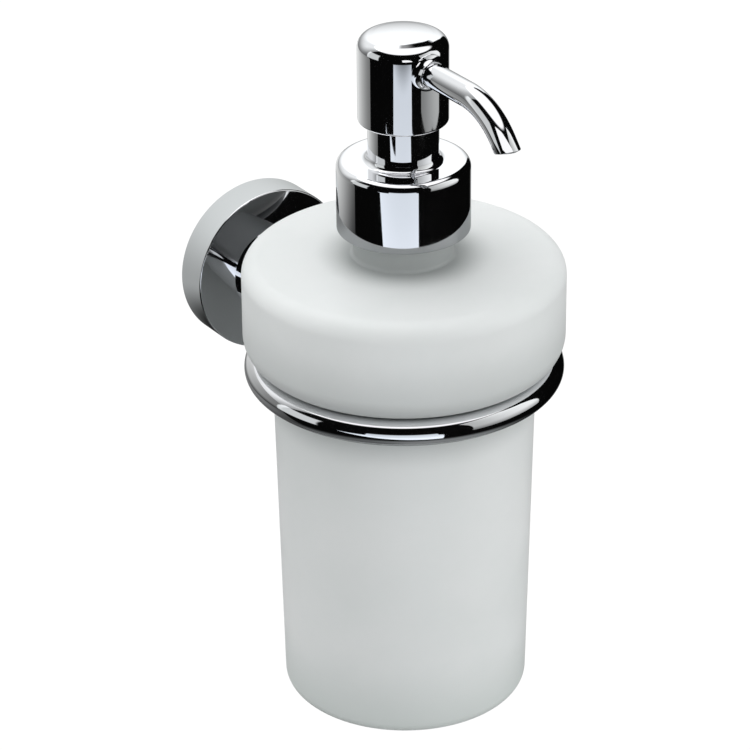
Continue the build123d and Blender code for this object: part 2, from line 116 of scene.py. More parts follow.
class NodeDesk:
    """Places and links nodes in one tree."""

    MIX_COLOURS = (6, 7)
    MIX_RESULT = 2
    NUMBER_RESULTS = ("DOT_PRODUCT", "LENGTH")

    def __init__(self, tree: bpy.types.NodeTree) -> None:
        """Keep the tree to work in."""
        self.tree = tree

    def add(self, kind: str, *values: object, **settings: object) -> bpy.types.Node:
        """Add a node.

        Args:
            kind: The node's type name.
            *values: What its first inputs get, each a socket, a plain value or nothing.
            **settings: Attributes to set on it.

        Returns:
            The new node.
        """
        node = self.tree.nodes.new(kind)
        for key, value in settings.items():
            setattr(node, key, value)
        for entry, value in zip(node.inputs, values):
            self.feed(entry, value)
        return node

    def feed(self, entry: Socket, value: object) -> None:
        """Link a socket to an input, or write a plain value on it.

        Args:
            entry: The input.
            value: A socket, a plain value or nothing.
        """
        if isinstance(value, Socket):
            self.tree.links.new(value, entry)
        elif value is not None:
            entry.default_value = value

    def find(self, kind: str) -> bpy.types.Node:
        """Give the tree's node of a type."""
        return next(node for node in self.tree.nodes if node.type == kind)

    def math(self, operation: str, *values: object) -> Socket:
        """Work on one or two numbers."""
        return self.add("ShaderNodeMath", *values, operation=operation).outputs[0]

    def times(self, first: object, second: object) -> Socket:
        """Multiply two numbers."""
        return self.math("MULTIPLY", first, second)

    def degrees(self, operation: str, *values: object) -> Socket:
        """Give the angle that an operation finds, in degrees."""
        return self.math("DEGREES", self.math(operation, *values))

    def vector(self, operation: str, *values: object) -> Socket:
        """Work on one or two vectors."""
        results = self.add("ShaderNodeVectorMath", *values, operation=operation).outputs
        return results["Value" if operation in self.NUMBER_RESULTS else "Vector"]

    def split(self, vector: Socket) -> bpy.types.NodeOutputs:
        """Take a vector apart into its X, Y and Z."""
        return self.add("ShaderNodeSeparateXYZ", vector).outputs

    def lit(self, light: Colour, share: Socket) -> Socket:
        """Scale a light's colour by a share."""
        return self.add("ShaderNodeVectorMath", light, None, None, share, operation="SCALE").outputs[0]

    def blend(self, share: object, first: bpy.types.Node, second: bpy.types.Node) -> bpy.types.Node:
        """Mix two shaders, with a share of the second one."""
        return self.add("ShaderNodeMixShader", share, first.outputs[0], second.outputs[0])

    def mix(self, share: Socket, first: object, second: object) -> Socket:
        """Mix two colours.

        Args:
            share: How much of the second one.
            first: The first colour, a socket or three numbers.
            second: The second colour, a socket or three numbers.

        Returns:
            The mixed colour.
        """
        node = self.add("ShaderNodeMix", share, data_type="RGBA")
        for place, colour in zip(self.MIX_COLOURS, (first, second)):
            self.feed(node.inputs[place], colour if isinstance(colour, Socket) else (*colour, 1.0))
        return node.outputs[self.MIX_RESULT]

    def ramp(
        self, value: Socket, low: float, high: float, to_low: object = 0.0, to_high: object = 1.0
    ) -> Socket:
        """Map a value smoothly from one range to another.

        Args:
            value: The value to map.
            low: Start of its range.
            high: End of its range.
            to_low: Result at the start.
            to_high: Result at the end.

        Returns:
            The mapped value.
        """
        values = (value, low, high, to_low, to_high)
        return self.add("ShaderNodeMapRange", *values, interpolation_type="SMOOTHSTEP").outputs["Result"]

    def hill(self, value: Socket, span: Sequence[float], top: float = 1.0) -> Socket:
        """Give a share inside a span and nothing outside it, with soft edges.

        Args:
            value: The value to test.
            span: Start and end of the rise, then start and end of the fall.
            top: The share inside.

        Returns:
            The share.
        """
        start, full, last, end = span
        return self.times(self.ramp(value, start, full), self.ramp(value, last, end, top, 0.0))


def new_material(name: str) -> tuple[bpy.types.Material, NodeDesk]:
    """Make a material with nodes.

    Args:
        name: The material's name.

    Returns:
        The material and the desk of its tree.
    """
    material = bpy.data.materials.new(name)
    material.use_nodes = True
    return material, NodeDesk(material.node_tree)


class GroupKind(Enum):
    """Effects that several finishes share."""

    FILM = "handling_film"
    GRAIN = "fine_grain"
    MOTTLE = "colour_mottle"


class GroupShelf:
    """Builds each shared shader group once."""

    NUMBER = "NodeSocketFloat"
    VECTOR = "NodeSocketVector"
    COLOUR = "NodeSocketColor"
    SOCKETS = {
        GroupKind.FILM: ({"Low": NUMBER, "High": NUMBER}, ("Value", NUMBER)),
        GroupKind.GRAIN: ({"Depth": NUMBER}, ("Normal", VECTOR)),
        GroupKind.MOTTLE: ({"Light": COLOUR, "Deep": COLOUR}, ("Color", COLOUR)),
    }
    NOISE_DETAIL = 4.0
    NOISE_ROUGHNESS = 0.6
    NOISE_RANGE = (0.3, 0.7)

    def __init__(self) -> None:
        """Start with no groups."""
        self._made: dict[GroupKind, bpy.types.NodeTree] = {}

    def get(self, kind: GroupKind) -> bpy.types.NodeTree:
        """Give a group, built at its first use.

        Args:
            kind: Which effect.

        Returns:
            The group's node tree.
        """
        if kind not in self._made:
            tree = bpy.data.node_groups.new(kind.value, "ShaderNodeTree")
            entries, (result, result_type) = self.SOCKETS[kind]
            for name, socket in {"Vector": self.VECTOR, "Scale": self.NUMBER, **entries}.items():
                tree.interface.new_socket(name=name, in_out="INPUT", socket_type=socket)
            tree.interface.new_socket(name=result, in_out="OUTPUT", socket_type=result_type)
            self._fill(kind, NodeDesk(tree), result)
            self._made[kind] = tree
        return self._made[kind]

    def _fill(self, kind: GroupKind, desk: NodeDesk, result: str) -> None:
        """Lay out the inside of a group.

        Args:
            kind: Which effect.
            desk: The group's tree.
            result: Name of its output.
        """
        entry = desk.add("NodeGroupInput").outputs
        leave = desk.add("NodeGroupOutput").inputs[result]
        noise = desk.add("ShaderNodeTexNoise")
        desk.feed(noise.inputs["Vector"], entry["Vector"])
        desk.feed(noise.inputs["Scale"], entry["Scale"])
        noise.inputs["Detail"].default_value = self.NOISE_DETAIL
        noise.inputs["Roughness"].default_value = self.NOISE_ROUGHNESS
        share = noise.outputs["Fac"]
        if kind is GroupKind.FILM:
            desk.feed(leave, desk.ramp(share, *self.NOISE_RANGE, entry["Low"], entry["High"]))
        elif kind is GroupKind.GRAIN:
            bump = desk.add("ShaderNodeBump")
            desk.feed(bump.inputs["Height"], share)
            desk.feed(bump.inputs["Distance"], entry["Depth"])
            desk.feed(leave, bump.outputs["Normal"])
        else:
            desk.feed(leave, desk.mix(share, entry["Light"], entry["Deep"]))


SHELF = GroupShelf()


# Finishes


@dataclass(frozen=True)
class Finish:
    """One surface finish: two colours that mottle, a roughness range and a fine grain."""

    slot: Slot
    light: Colour
    deep: Colour
    mottle_scale: float
    rough_low: float
    rough_high: float
    film_scale: float
    grain_scale: float
    grain_depth: float
    metallic: float = 0.0
    ior: float = 1.5
    transmission: float = 0.0
    coat: float = 0.0
    coat_roughness: float = 0.12
    sheen: float = 0.0
    sheen_roughness: float = 0.35

    def build(self) -> bpy.types.Material:
        """Make the finish's material.

        Returns:
            The material.
        """
        material, desk = new_material(f"{self.slot.value}_finish")
        material.diffuse_color = (*self.light, 1.0)
        entries = desk.find("BSDF_PRINCIPLED").inputs
        plain = {
            "Metallic": self.metallic, "IOR": self.ior, "Transmission Weight": self.transmission,
            "Coat Weight": self.coat, "Coat Roughness": self.coat_roughness,
            "Sheen Weight": self.sheen, "Sheen Roughness": self.sheen_roughness,
        }
        for name, value in plain.items():
            entries[name].default_value = value
        place = desk.add("ShaderNodeTexCoord").outputs["Object"]
        colour = self._group(desk, GroupKind.MOTTLE, place, Scale=self.mottle_scale,
                             Light=(*self.light, 1.0), Deep=(*self.deep, 1.0))
        desk.feed(entries["Base Color"], self.shade(desk, place, colour))
        desk.feed(entries["Roughness"], self._group(
            desk, GroupKind.FILM, place, Scale=self.film_scale, Low=self.rough_low, High=self.rough_high))
        desk.feed(entries["Normal"], self._group(
            desk, GroupKind.GRAIN, place, Scale=self.grain_scale, Depth=self.grain_depth))
        return material

    def shade(self, desk: NodeDesk, place: Socket, colour: Socket) -> Socket:
        """Give the colour as it is; a finish with more to it adds to it here.

        Args:
            desk: The material's tree; not used here.
            place: Object coordinates; not used here.
            colour: The mottled colour.

        Returns:
            The colour to show.
        """
        return colour

    @staticmethod
    def _group(desk: NodeDesk, kind: GroupKind, place: Socket, **values: object) -> Socket:
        """Place a shared group in the material.

        Args:
            desk: The material's tree.
            kind: Which effect.
            place: Object coordinates.
            **values: The group's inputs.

        Returns:
            The group's output.
        """
        node = desk.add("ShaderNodeGroup", node_tree=SHELF.get(kind))
        for name, value in {"Vector": place, **values}.items():
            desk.feed(node.inputs[name], value)
        return node.outputs[0]


@dataclass(frozen=True)
class SatinGlass(Finish):
    """Clear glass with an etched and faintly cloudy surface, greener towards its thick base.

    Painted shade darkens its base, its seat in the ring and its neck under the collar,
    and nearby metal reflects it in painted shade. Heights, radii and places are in millimetres.
    """

    cloud_colour: Colour = (0.82, 0.865, 0.855)
    cloud_scale: float = 32.0
    cloud_share: float = 0.32
    base_tint_and_shade_colour: Colour = (0.66, 0.72, 0.70)
    base_tint_and_shade_heights: Span = (-100.0, -74.0)
    base_tint_and_shade_share: float = 0.75
    seat_shade_colour: Colour = (0.55, 0.585, 0.58)
    seat_shade_heights: Hill = (-17.0, -7.0, 4.0, 23.0)
    seat_shade_share: float = 0.60
    neck_shade_colour: Colour = (0.36, 0.39, 0.385)
    neck_shade_radii: Span = (11.5, 25.0)
    neck_shade_heights: Span = (22.0, 30.0)
    neck_shade_share: float = 0.82
    mirrored_shade_colour: Colour = (0.30, 0.32, 0.32)
    mirrored_back_shade: Colour = (0.10, 0.108, 0.108)
    wall_side: Span = (-58.0, -42.0)
    ring_heights: Span = (-3.0, 2.0)
    drum_heights: Hill = (0.0, 3.0, 22.0, 28.0)

    def shade(self, desk: NodeDesk, place: Socket, colour: Socket) -> Socket:
        """Cloud the glass, tint its base greener and paint shade on it, paint shade at the ring's seat and
        round the neck, and paint it darker in nearby metal's reflections.

        The photograph's metal mirrors the glass darker than the glass itself looks; the dimming follows it.

        Args:
            desk: The material's tree.
            place: Object coordinates.
            colour: The mottled colour.

        Returns:
            The tinted colour, with painted shade.
        """
        split = desk.split(place)
        height = split["Z"]
        clouds = self._group(desk, GroupKind.FILM, place, Scale=self.cloud_scale, High=self.cloud_share,
                             Low=0.0)
        cloudy = desk.mix(clouds, colour, self.cloud_colour)
        # The base is greener for its thick glass, and darker towards the bottom with painted shade
        base = desk.ramp(height, *metres(self.base_tint_and_shade_heights), self.base_tint_and_shade_share, 0.0)
        tinted = desk.mix(base, cloudy, self.base_tint_and_shade_colour)
        # Painted shade on the drum and cup next to where the ring holds the bottle
        seat = desk.hill(height, metres(self.seat_shade_heights), self.seat_shade_share)
        tinted = desk.mix(seat, tinted, self.seat_shade_colour)
        # Painted shade round the neck under the collar, standing in for the collar's shadow
        from_axis = desk.vector("ADD", place, (0.0, AXIS_OUT * MM, 0.0))
        radius = desk.vector("LENGTH", desk.vector("MULTIPLY", from_axis, (1.0, 1.0, 0.0)))
        near = desk.ramp(radius, *metres(self.neck_shade_radii), self.neck_shade_share, 0.0)
        high = desk.ramp(height, *metres(self.neck_shade_heights))
        shaded = desk.mix(desk.times(near, high), tinted, self.neck_shade_colour)
        # Painted reflection: glossy rays see the glass in painted shade, darker than it is
        path = desk.add("ShaderNodeLightPath").outputs
        mirror = desk.math("SUBTRACT", path["Is Glossy Ray"], path["Is Transmission Ray"])
        return desk.mix(desk.math("MAXIMUM", mirror, 0.0), shaded, self._mirrored(desk, split, cloudy))

    def _mirrored(self, desk: NodeDesk, split: bpy.types.NodeOutputs, cloudy: Socket) -> Socket:
        """Give the colour that nearby metal mirrors, in painted shade: dim, dimmer at the wall, the plain
        clouded colour on the drum's front.

        Args:
            desk: The material's tree.
            split: Object coordinates, taken apart.
            cloudy: The clouded colour, without tints or painted shade.

        Returns:
            The mirrored colour.
        """
        # Painted shade, darkest on the glass's back towards the wall above the ring
        near_wall = desk.ramp(split["Y"], *metres(self.wall_side))
        above_ring = desk.ramp(split["Z"], *metres(self.ring_heights))
        dim = desk.mix(desk.times(near_wall, above_ring), self.mirrored_shade_colour, self.mirrored_back_shade)
        drum = desk.hill(split["Z"], metres(self.drum_heights))
        return desk.mix(desk.times(desk.math("SUBTRACT", 1.0, near_wall), drum), dim, cloudy)


FINISHES: tuple[Finish, ...] = (
    Finish(Slot.CHROME, (0.90, 0.90, 0.92), (0.86, 0.865, 0.885), 60.0, 0.02, 0.05, 90.0, 900.0, 1.0e-7,
           metallic=1.0),
    SatinGlass(Slot.GLASS, (0.98, 1.0, 1.0), (0.90, 0.935, 0.93), 45.0, 0.42, 0.50, 120.0, 4200.0, 6.0e-6,
               transmission=0.24, sheen=0.3),
    Finish(Slot.PLASTIC, (0.88, 0.88, 0.86), (0.83, 0.83, 0.80), 150.0, 0.38, 0.50, 300.0, 2600.0, 8.0e-6),
    Finish(Slot.TUBE, (0.86, 0.89, 0.90), (0.80, 0.84, 0.86), 120.0, 0.18, 0.30, 200.0, 1500.0, 4.0e-6,
           coat=0.3),
    Finish(Slot.STEEL, (0.68, 0.68, 0.69), (0.58, 0.58, 0.60), 400.0, 0.18, 0.32, 600.0, 3000.0, 3.0e-6,
           metallic=1.0),
    Finish(Slot.ZINC, (0.60, 0.61, 0.62), (0.46, 0.47, 0.48), 180.0, 0.42, 0.62, 420.0, 1400.0, 2.5e-5,
           metallic=1.0),
    Finish(Slot.RUBBER, (0.10, 0.10, 0.11), (0.14, 0.14, 0.15), 250.0, 0.62, 0.78, 500.0, 2400.0, 1.0e-5),
)


# Modelling by operators


@dataclass(frozen=True)
class Corner:
    """One corner of a turned profile, in millimetres."""

    radius: float
    height: float
    rounding: float = 0.0


class Lathe(Enum):
    """Axes that pieces are turned about: origin, direction of the height and direction of the radius."""

    BOTTLE = ((0.0, -AXIS_OUT, -RING_DROP), (0.0, 0.0, 1.0), (1.0, 0.0, 0.0))
    WALL = ((0.0, 0.0, 0.0), (0.0, -1.0, 0.0), (1.0, 0.0, 0.0))
    NOSE = ((0.0, 0.0, -RING_DROP), (0.0, -1.0, 0.0), (1.0, 0.0, 0.0))
    SPOUT = ((0.0, -AXIS_OUT, SPOUT_HEIGHT - RING_DROP), (0.0, -1.0, 0.0), (0.0, 0.0, 1.0))

    def point(self, radius: float, height: float) -> Vector:
        """Place a profile's point in the frame, in metres.

        Args:
            radius: Distance from the axis in millimetres.
            height: Distance along the axis in millimetres.

        Returns:
            The point.
        """
        origin, along, outward = (Vector(v) for v in self.value)
        return (origin + along * height + outward * radius) * MM


def rounded(corners: Sequence[Corner], closed: bool = False) -> list[Point]:
    """Run a profile through its corners, with arcs at those that are rounded.

    Args:
        corners: The corners in order.
        closed: Whether the last corner joins the first.

    Returns:
        The profile's points; a closed one ends where it starts.
    """
    count = len(corners)
    spots = [Vector((c.radius, c.height)) for c in corners]
    arcs: list[list[Vector]] = []
    for i, corner in enumerate(corners):
        inner = closed or 0 < i < count - 1
        if corner.rounding <= 0 or not inner:
            arcs.append([spots[i]])
            continue
        back = spots[i - 1] - spots[i]
        ahead = spots[(i + 1) % count] - spots[i]
        turn = math.pi - back.angle(ahead)
        reach = corner.rounding * math.tan(turn / 2)
        start = spots[i] + back.normalized() * reach
        centre_way = (back.normalized() + ahead.normalized()).normalized()
        centre = spots[i] + centre_way * corner.rounding / math.cos(turn / 2)
        spoke = start - centre
        side = 1.0 if back.cross(ahead) < 0 else -1.0
        steps = max(2, math.ceil(turn / ARC_STEP))
        arc = []
        for k in range(steps + 1):
            angle = side * turn * k / steps
            cos, sin = math.cos(angle), math.sin(angle)
            arc.append(centre + Vector((spoke.x * cos - spoke.y * sin, spoke.x * sin + spoke.y * cos)))
        arcs.append(arc)
    points: list[Vector] = []
    for i, arc in enumerate(arcs):
        points.extend(arc)
        if i + 1 < count or closed:
            following = arcs[(i + 1) % count][0]
            run = following - arc[-1]
            if run.length > LONG_RUN:
                points.append(arc[-1] + run.normalized() * SUPPORT)
                points.append(following - run.normalized() * SUPPORT)
    if closed:
        points.append(points[0].copy())
    return [(p.x, p.y) for p in points]


def circle(radius: float, sides: int) -> list[Point]:
    """Go round a circle.

    Args:
        radius: Its radius.
        sides: How many sides it has.

    Returns:
        Its points; the last is the first.
    """
    turns = [FULL_TURN * k / sides for k in range(sides + 1)]
    return [(radius * math.cos(turn), radius * math.sin(turn)) for turn in turns]


def choose(piece: Piece) -> None:
    """Select one piece alone and make it active.

    Args:
        piece: The piece.
    """
    bpy.ops.object.select_all(action="DESELECT")
    piece.select_set(True)
    bpy.context.view_layer.objects.active = piece


def draw_profile(name: str, path: Sequence[Vector], join: bool = False) -> Piece:
    """Draw a chain of edges by extruding a vertex, and stay in edit mode with all of it selected.

    Args:
        name: The piece's name.
        path: The chain's points.
        join: Whether the last point is the first and is merged with it.

    Returns:
        The piece, with its object at the origin.
    """
    bpy.ops.object.select_all(action="DESELECT")
    bpy.ops.mesh.primitive_plane_add(size=MM, location=(0, 0, 0))
    piece = bpy.context.object
    piece.name = name
    piece.data.name = name
    bpy.ops.object.mode_set(mode="EDIT")
    bpy.ops.mesh.select_all(action="SELECT")
    bpy.ops.mesh.merge(type="CENTER")
    bpy.ops.transform.translate(value=path[0])
    for here, there in zip(path, path[1:]):
        bpy.ops.mesh.extrude_vertices_move(TRANSFORM_OT_translate={"value": there - here})
    bpy.ops.mesh.select_all(action="SELECT")
    if join:
        bpy.ops.mesh.remove_doubles(threshold=MERGE)
    return piece


def shade(piece: Piece) -> None:
    """Shade a piece smooth, apart from its sharp edges."""
    choose(piece)
    bpy.ops.object.shade_smooth_by_angle(angle=SHARP_ANGLE)


def close_up(piece: Piece) -> None:
    """Merge doubles, turn the faces outwards, leave edit mode and shade the piece.

    Args:
        piece: The piece in edit mode.
    """
    bpy.ops.mesh.select_all(action="SELECT")
    bpy.ops.mesh.remove_doubles(threshold=MERGE)
    bpy.ops.mesh.normals_make_consistent(inside=False)
    bpy.ops.object.mode_set(mode="OBJECT")
    shade(piece)


def apply_modifier(piece: Piece, kind: str, **settings: object) -> None:
    """Add a modifier and apply it.

    Args:
        piece: The piece to change.
        kind: The modifier's type.
        **settings: Its settings.
    """
    choose(piece)
    modifier = piece.modifiers.new(kind.lower(), kind)
    for key, value in settings.items():
        setattr(modifier, key, value)
    bpy.ops.object.modifier_apply(modifier=modifier.name)


def turned(name: str, lathe: Lathe, profile: Sequence[Point], steps: int) -> Piece:
    """Spin a profile round a lathe axis.

    Args:
        name: The piece's name.
        lathe: The axis.
        profile: Radius and height of each point, in millimetres.
        steps: Steps in the full turn.

    Returns:
        The turned piece.
    """
    piece = draw_profile(name, [lathe.point(*p) for p in profile])
    origin, along, _ = lathe.value
    bpy.ops.mesh.spin(steps=steps, angle=FULL_TURN, center=Vector(origin) * MM, axis=along)
    close_up(piece)
    return piece


def wound(name: str, section: Sequence[Point], pitch: float, turns: int, steps: int) -> Piece:
    """Wind a section round the bottle's axis as a screw and close both ends.

    Args:
        name: The piece's name.
        section: Radius and height of each point, in millimetres; the last is the first.
        pitch: Rise of one turn in millimetres.
        turns: How many turns.
        steps: Steps in a turn.

    Returns:
        The wound piece.
    """
    piece = draw_profile(name, [Lathe.BOTTLE.point(*p) for p in section], join=True)
    bpy.ops.object.mode_set(mode="OBJECT")
    axis = bpy.data.objects.new(f"{name}_axis", None)
    bpy.context.scene.collection.objects.link(axis)
    axis.location = Lathe.BOTTLE.point(0, 0)
    bpy.context.view_layer.update()
    apply_modifier(piece, "SCREW", object=axis, axis="Z", screw_offset=pitch * MM, iterations=turns,
                   steps=steps, render_steps=steps, use_merge_vertices=False)
    bpy.data.objects.remove(axis)
    bpy.ops.object.mode_set(mode="EDIT")
    bpy.ops.mesh.select_all(action="DESELECT")
    bpy.ops.mesh.select_non_manifold()
    bpy.ops.mesh.edge_face_add()
    close_up(piece)
    return piece


def drill(piece: Piece, place: Vector, diameter: float, depth: float) -> None:
    """Drill a round hole upwards into a piece.

    Args:
        piece: The piece to drill.
        place: Middle of the drill, in millimetres.
        diameter: Hole's diameter in millimetres.
        depth: Drill's length in millimetres.
    """
    bpy.ops.object.select_all(action="DESELECT")
    bpy.ops.mesh.primitive_cylinder_add(
        vertices=DRILL_SIDES, radius=diameter / 2 * MM, depth=depth * MM, location=place * MM)
    cutter = bpy.context.object
    apply_modifier(piece, "BOOLEAN", object=cutter, operation="DIFFERENCE", solver="EXACT")
    bpy.data.objects.remove(cutter)
    shade(piece)


# Sub-assemblies, with their sizes in millimetres and degrees


@dataclass
class Assembly:
    """A group of pieces that are built and dressed together."""

    finishes: dict[Slot, bpy.types.Material]

    def finish(self, piece: Piece, slot: Slot) -> None:
        """Give a piece its finish."""
        piece.data.materials.clear()
        piece.data.materials.append(self.finishes[slot])

    def dress(self, piece: Piece, slot: Slot, body: Body, *nodes: str) -> Piece:
        """Give a piece its finish, its body and the nodes it stands for.

        Args:
            piece: The piece.
            slot: The finish.
            body: The body it moves with.
            *nodes: Nodes that it replaces.

        Returns:
            The piece.
        """
        self.finish(piece, slot)
        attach(piece, body.value)
        if nodes:
            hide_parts(*nodes)
        LOG.info("%s: %d faces on %s", piece.name, len(piece.data.polygons), body.value)
        return piece


@dataclass
class WallBracket(Assembly):
    """Rosette, arm and ring."""

    rosette_radius: float = 23.5
    rosette_depth: float = 9.6
    rosette_wall: float = 2.0
    rosette_face: float = 2.4
    rosette_edge: float = 0.4
    rosette_foot_round: float = 0.15
    rosette_inside_round: float = 0.8
    grub_diameter: float = 4.04
    grub_out: float = 3.0
    arm_base: float = 12.0
    arm_tip: float = 9.6
    arm_end: float = 31.0
    arm_round: float = 2.5
    nose_radius: float = 3.0
    nose_into_ring: float = 1.6
    braze: float = 1.0
    braze_proud: float = 0.05
    braze_round: float = 0.7
    nose_steps: int = 64
    ring_radius: float = 39.25
    wire_radius: float = 3.5
    wire_sides: int = 48
    ring_steps: int = 192
    steps: int = 160

    def build(self) -> None:
        """Build and dress the bracket's pieces."""
        self.dress(self.rosette(), Slot.CHROME, Body.BRACKET, "rosette")
        self.dress(self.arm(), Slot.CHROME, Body.BRACKET, "arm")
        self.dress(self.nose(), Slot.CHROME, Body.BRACKET)
        self.dress(self.ring(), Slot.CHROME, Body.BRACKET, "holder_ring")

    def rosette(self) -> Piece:
        """Turn the rosette and drill it for its grub screw.

        Returns:
            The rosette.
        """
        outer, depth = self.rosette_radius, self.rosette_depth
        inner = outer - self.rosette_wall
        floor = depth - self.rosette_face
        profile = rounded((
            Corner(0, floor), Corner(inner, floor, self.rosette_inside_round),
            Corner(inner, 0), Corner(outer, 0, self.rosette_foot_round),
            Corner(outer, depth, self.rosette_edge), Corner(0, depth),
        ))
        piece = turned("rosette_cup", Lathe.WALL, profile, self.steps)
        drill(piece, Vector((0, -self.grub_out, -outer)), self.grub_diameter, 3 * self.rosette_wall)
        return piece

    def arm(self) -> Piece:
        """Turn the tapering arm.

        Returns:
            The arm.
        """
        profile = rounded((
            Corner(0, self.rosette_depth), Corner(self.arm_base, self.rosette_depth),
            Corner(self.arm_tip, self.arm_end, self.arm_round), Corner(0, self.arm_end),
        ))
        return turned("arm_stem", Lathe.WALL, profile, self.steps)

    def nose(self) -> Piece:
        """Turn the nose that runs from the arm into the ring, with a brazed root.

        Returns:
            The nose.
        """
        start = self.arm_end - self.braze
        root = self.nose_radius + self.braze
        face = self.arm_end + self.braze_proud
        end = AXIS_OUT - self.ring_radius - self.wire_radius + self.nose_into_ring
        profile = rounded((
            Corner(0, start), Corner(root, start), Corner(root, face),
            Corner(self.nose_radius, face, self.braze_round), Corner(self.nose_radius, end), Corner(0, end),
        ))
        return turned("ring_nose", Lathe.NOSE, profile, self.nose_steps)

    def ring(self) -> Piece:
        """Spin the wire's round section into the ring."""
        section = [(self.ring_radius + r, h) for r, h in circle(self.wire_radius, self.wire_sides)]
        return turned("ring_wire", Lathe.BOTTLE, section, self.ring_steps)


@dataclass
class GlassBottle(Assembly):
    """The bottle with the thread on its neck."""

    drum: float = 43.0
    cup_top: float = 35.35
    cup_base: float = 33.15
    wall: float = 3.0
    under: float = 3.247
    base: float = -96.653
    edge: float = 31.597
    crown: float = 33.197
    crown_ease: float = 0.4
    crown_sweep: float = 110.0
    lip: float = 54.397
    lip_round: float = 0.7
    neck: float = 13.4
    neck_bore: float = 10.8
    neck_round: float = 1.0
    drum_round: float = 7.0
    edge_round: float = 5.0
    step_round: float = 0.3
    foot: float = 24.15
    foot_round: float = 6.0
    push: float = 1.5
    base_round: float = 3.5
    inside_round: float = 3.5
    inside_edge: float = 1.5
    thread_low: float = 44.2
    thread_pitch: float = 3.0
    thread_turns: int = 2
    thread_height: float = 0.38
    thread_width: float = 1.3
    thread_sink: float = 0.1
    thread_crest: float = 0.45
    thread_steps: int = 96
    steps: int = 192

    def build(self) -> None:
        """Build and dress the bottle."""
        self.dress(self.glass(), Slot.GLASS, Body.BOTTLE, "bottle")
        self.dress(self.thread(), Slot.GLASS, Body.BOTTLE)

    def glass(self) -> Piece:
        """Turn the bottle's outside, lip and inside.

        Returns:
            The bottle.
        """
        drum_in = self.drum - self.wall
        shelf = self.under + self.wall
        profile = rounded((
            Corner(0, self.base + self.push),
            Corner(self.foot, self.base, self.foot_round),
            Corner(self.cup_base, self.base, self.base_round),
            Corner(self.cup_top, self.under, self.step_round),
            Corner(self.drum, self.under, self.drum_round),
            Corner(self.drum, self.edge, self.edge_round),
            Corner((self.neck + self.drum) / 2, self.crown - self.crown_ease, self.crown_sweep),
            Corner(self.neck, self.crown, self.neck_round),
            Corner(self.neck, self.lip, self.lip_round),
            Corner(self.neck_bore, self.lip, self.lip_round),
            Corner(self.neck_bore, self.crown - self.wall, self.inside_edge),
            Corner(drum_in, self.edge - self.wall, self.inside_edge),
            Corner(drum_in, shelf, self.inside_round),
            Corner(self.cup_top - self.wall, shelf, self.inside_edge),
            Corner(self.cup_base - self.wall, self.base + self.wall, self.inside_round),
            Corner(0, self.base + self.push + self.wall),
        ))
        return turned("glass_bottle", Lathe.BOTTLE, profile, self.steps)

    def thread(self) -> Piece:
        """Wind the neck's thread.

        Returns:
            The thread.
        """
        half = self.thread_width / 2
        flat = half * self.thread_crest
        root, crest = self.neck - self.thread_sink, self.neck + self.thread_height
        outline = ((root, -half), (crest, -flat), (crest, flat), (root, half), (root, -half))
        section = [(r, self.thread_low + h) for r, h in outline]
        return wound("neck_thread", section, self.thread_pitch, self.thread_turns, self.thread_steps)


@dataclass
class PumpCollar(Assembly):
    """The chromed collar with its sleeve."""

    radius: float = 17.65
    wall: float = 1.0
    bottom: float = 40.497
    bottom_round: float = 0.3
    top: float = 59.797
    top_round: float = 2.0
    inside: float = 58.397
    inside_round: float = 0.8
    sleeve: float = 9.37
    sleeve_bore: float = 8.32
    sleeve_top: float = 73.447
    sleeve_round: float = 0.4
    sleeve_fillet: float = 1.8
    steps: int = 160

    def build(self) -> None:
        """Build and dress the collar."""
        bore = self.radius - self.wall
        profile = rounded((
            Corner(bore, self.bottom), Corner(self.radius, self.bottom, self.bottom_round),
            Corner(self.radius, self.top, self.top_round), Corner(self.sleeve, self.top, self.sleeve_fillet),
            Corner(self.sleeve, self.sleeve_top, self.sleeve_round),
            Corner(self.sleeve_bore, self.sleeve_top), Corner(self.sleeve_bore, self.inside),
            Corner(bore, self.inside, self.inside_round),
        ), closed=True)
        piece = turned("pump_collar", Lathe.BOTTLE, profile, self.steps)
        self.dress(piece, Slot.CHROME, Body.COLLAR, "collar")


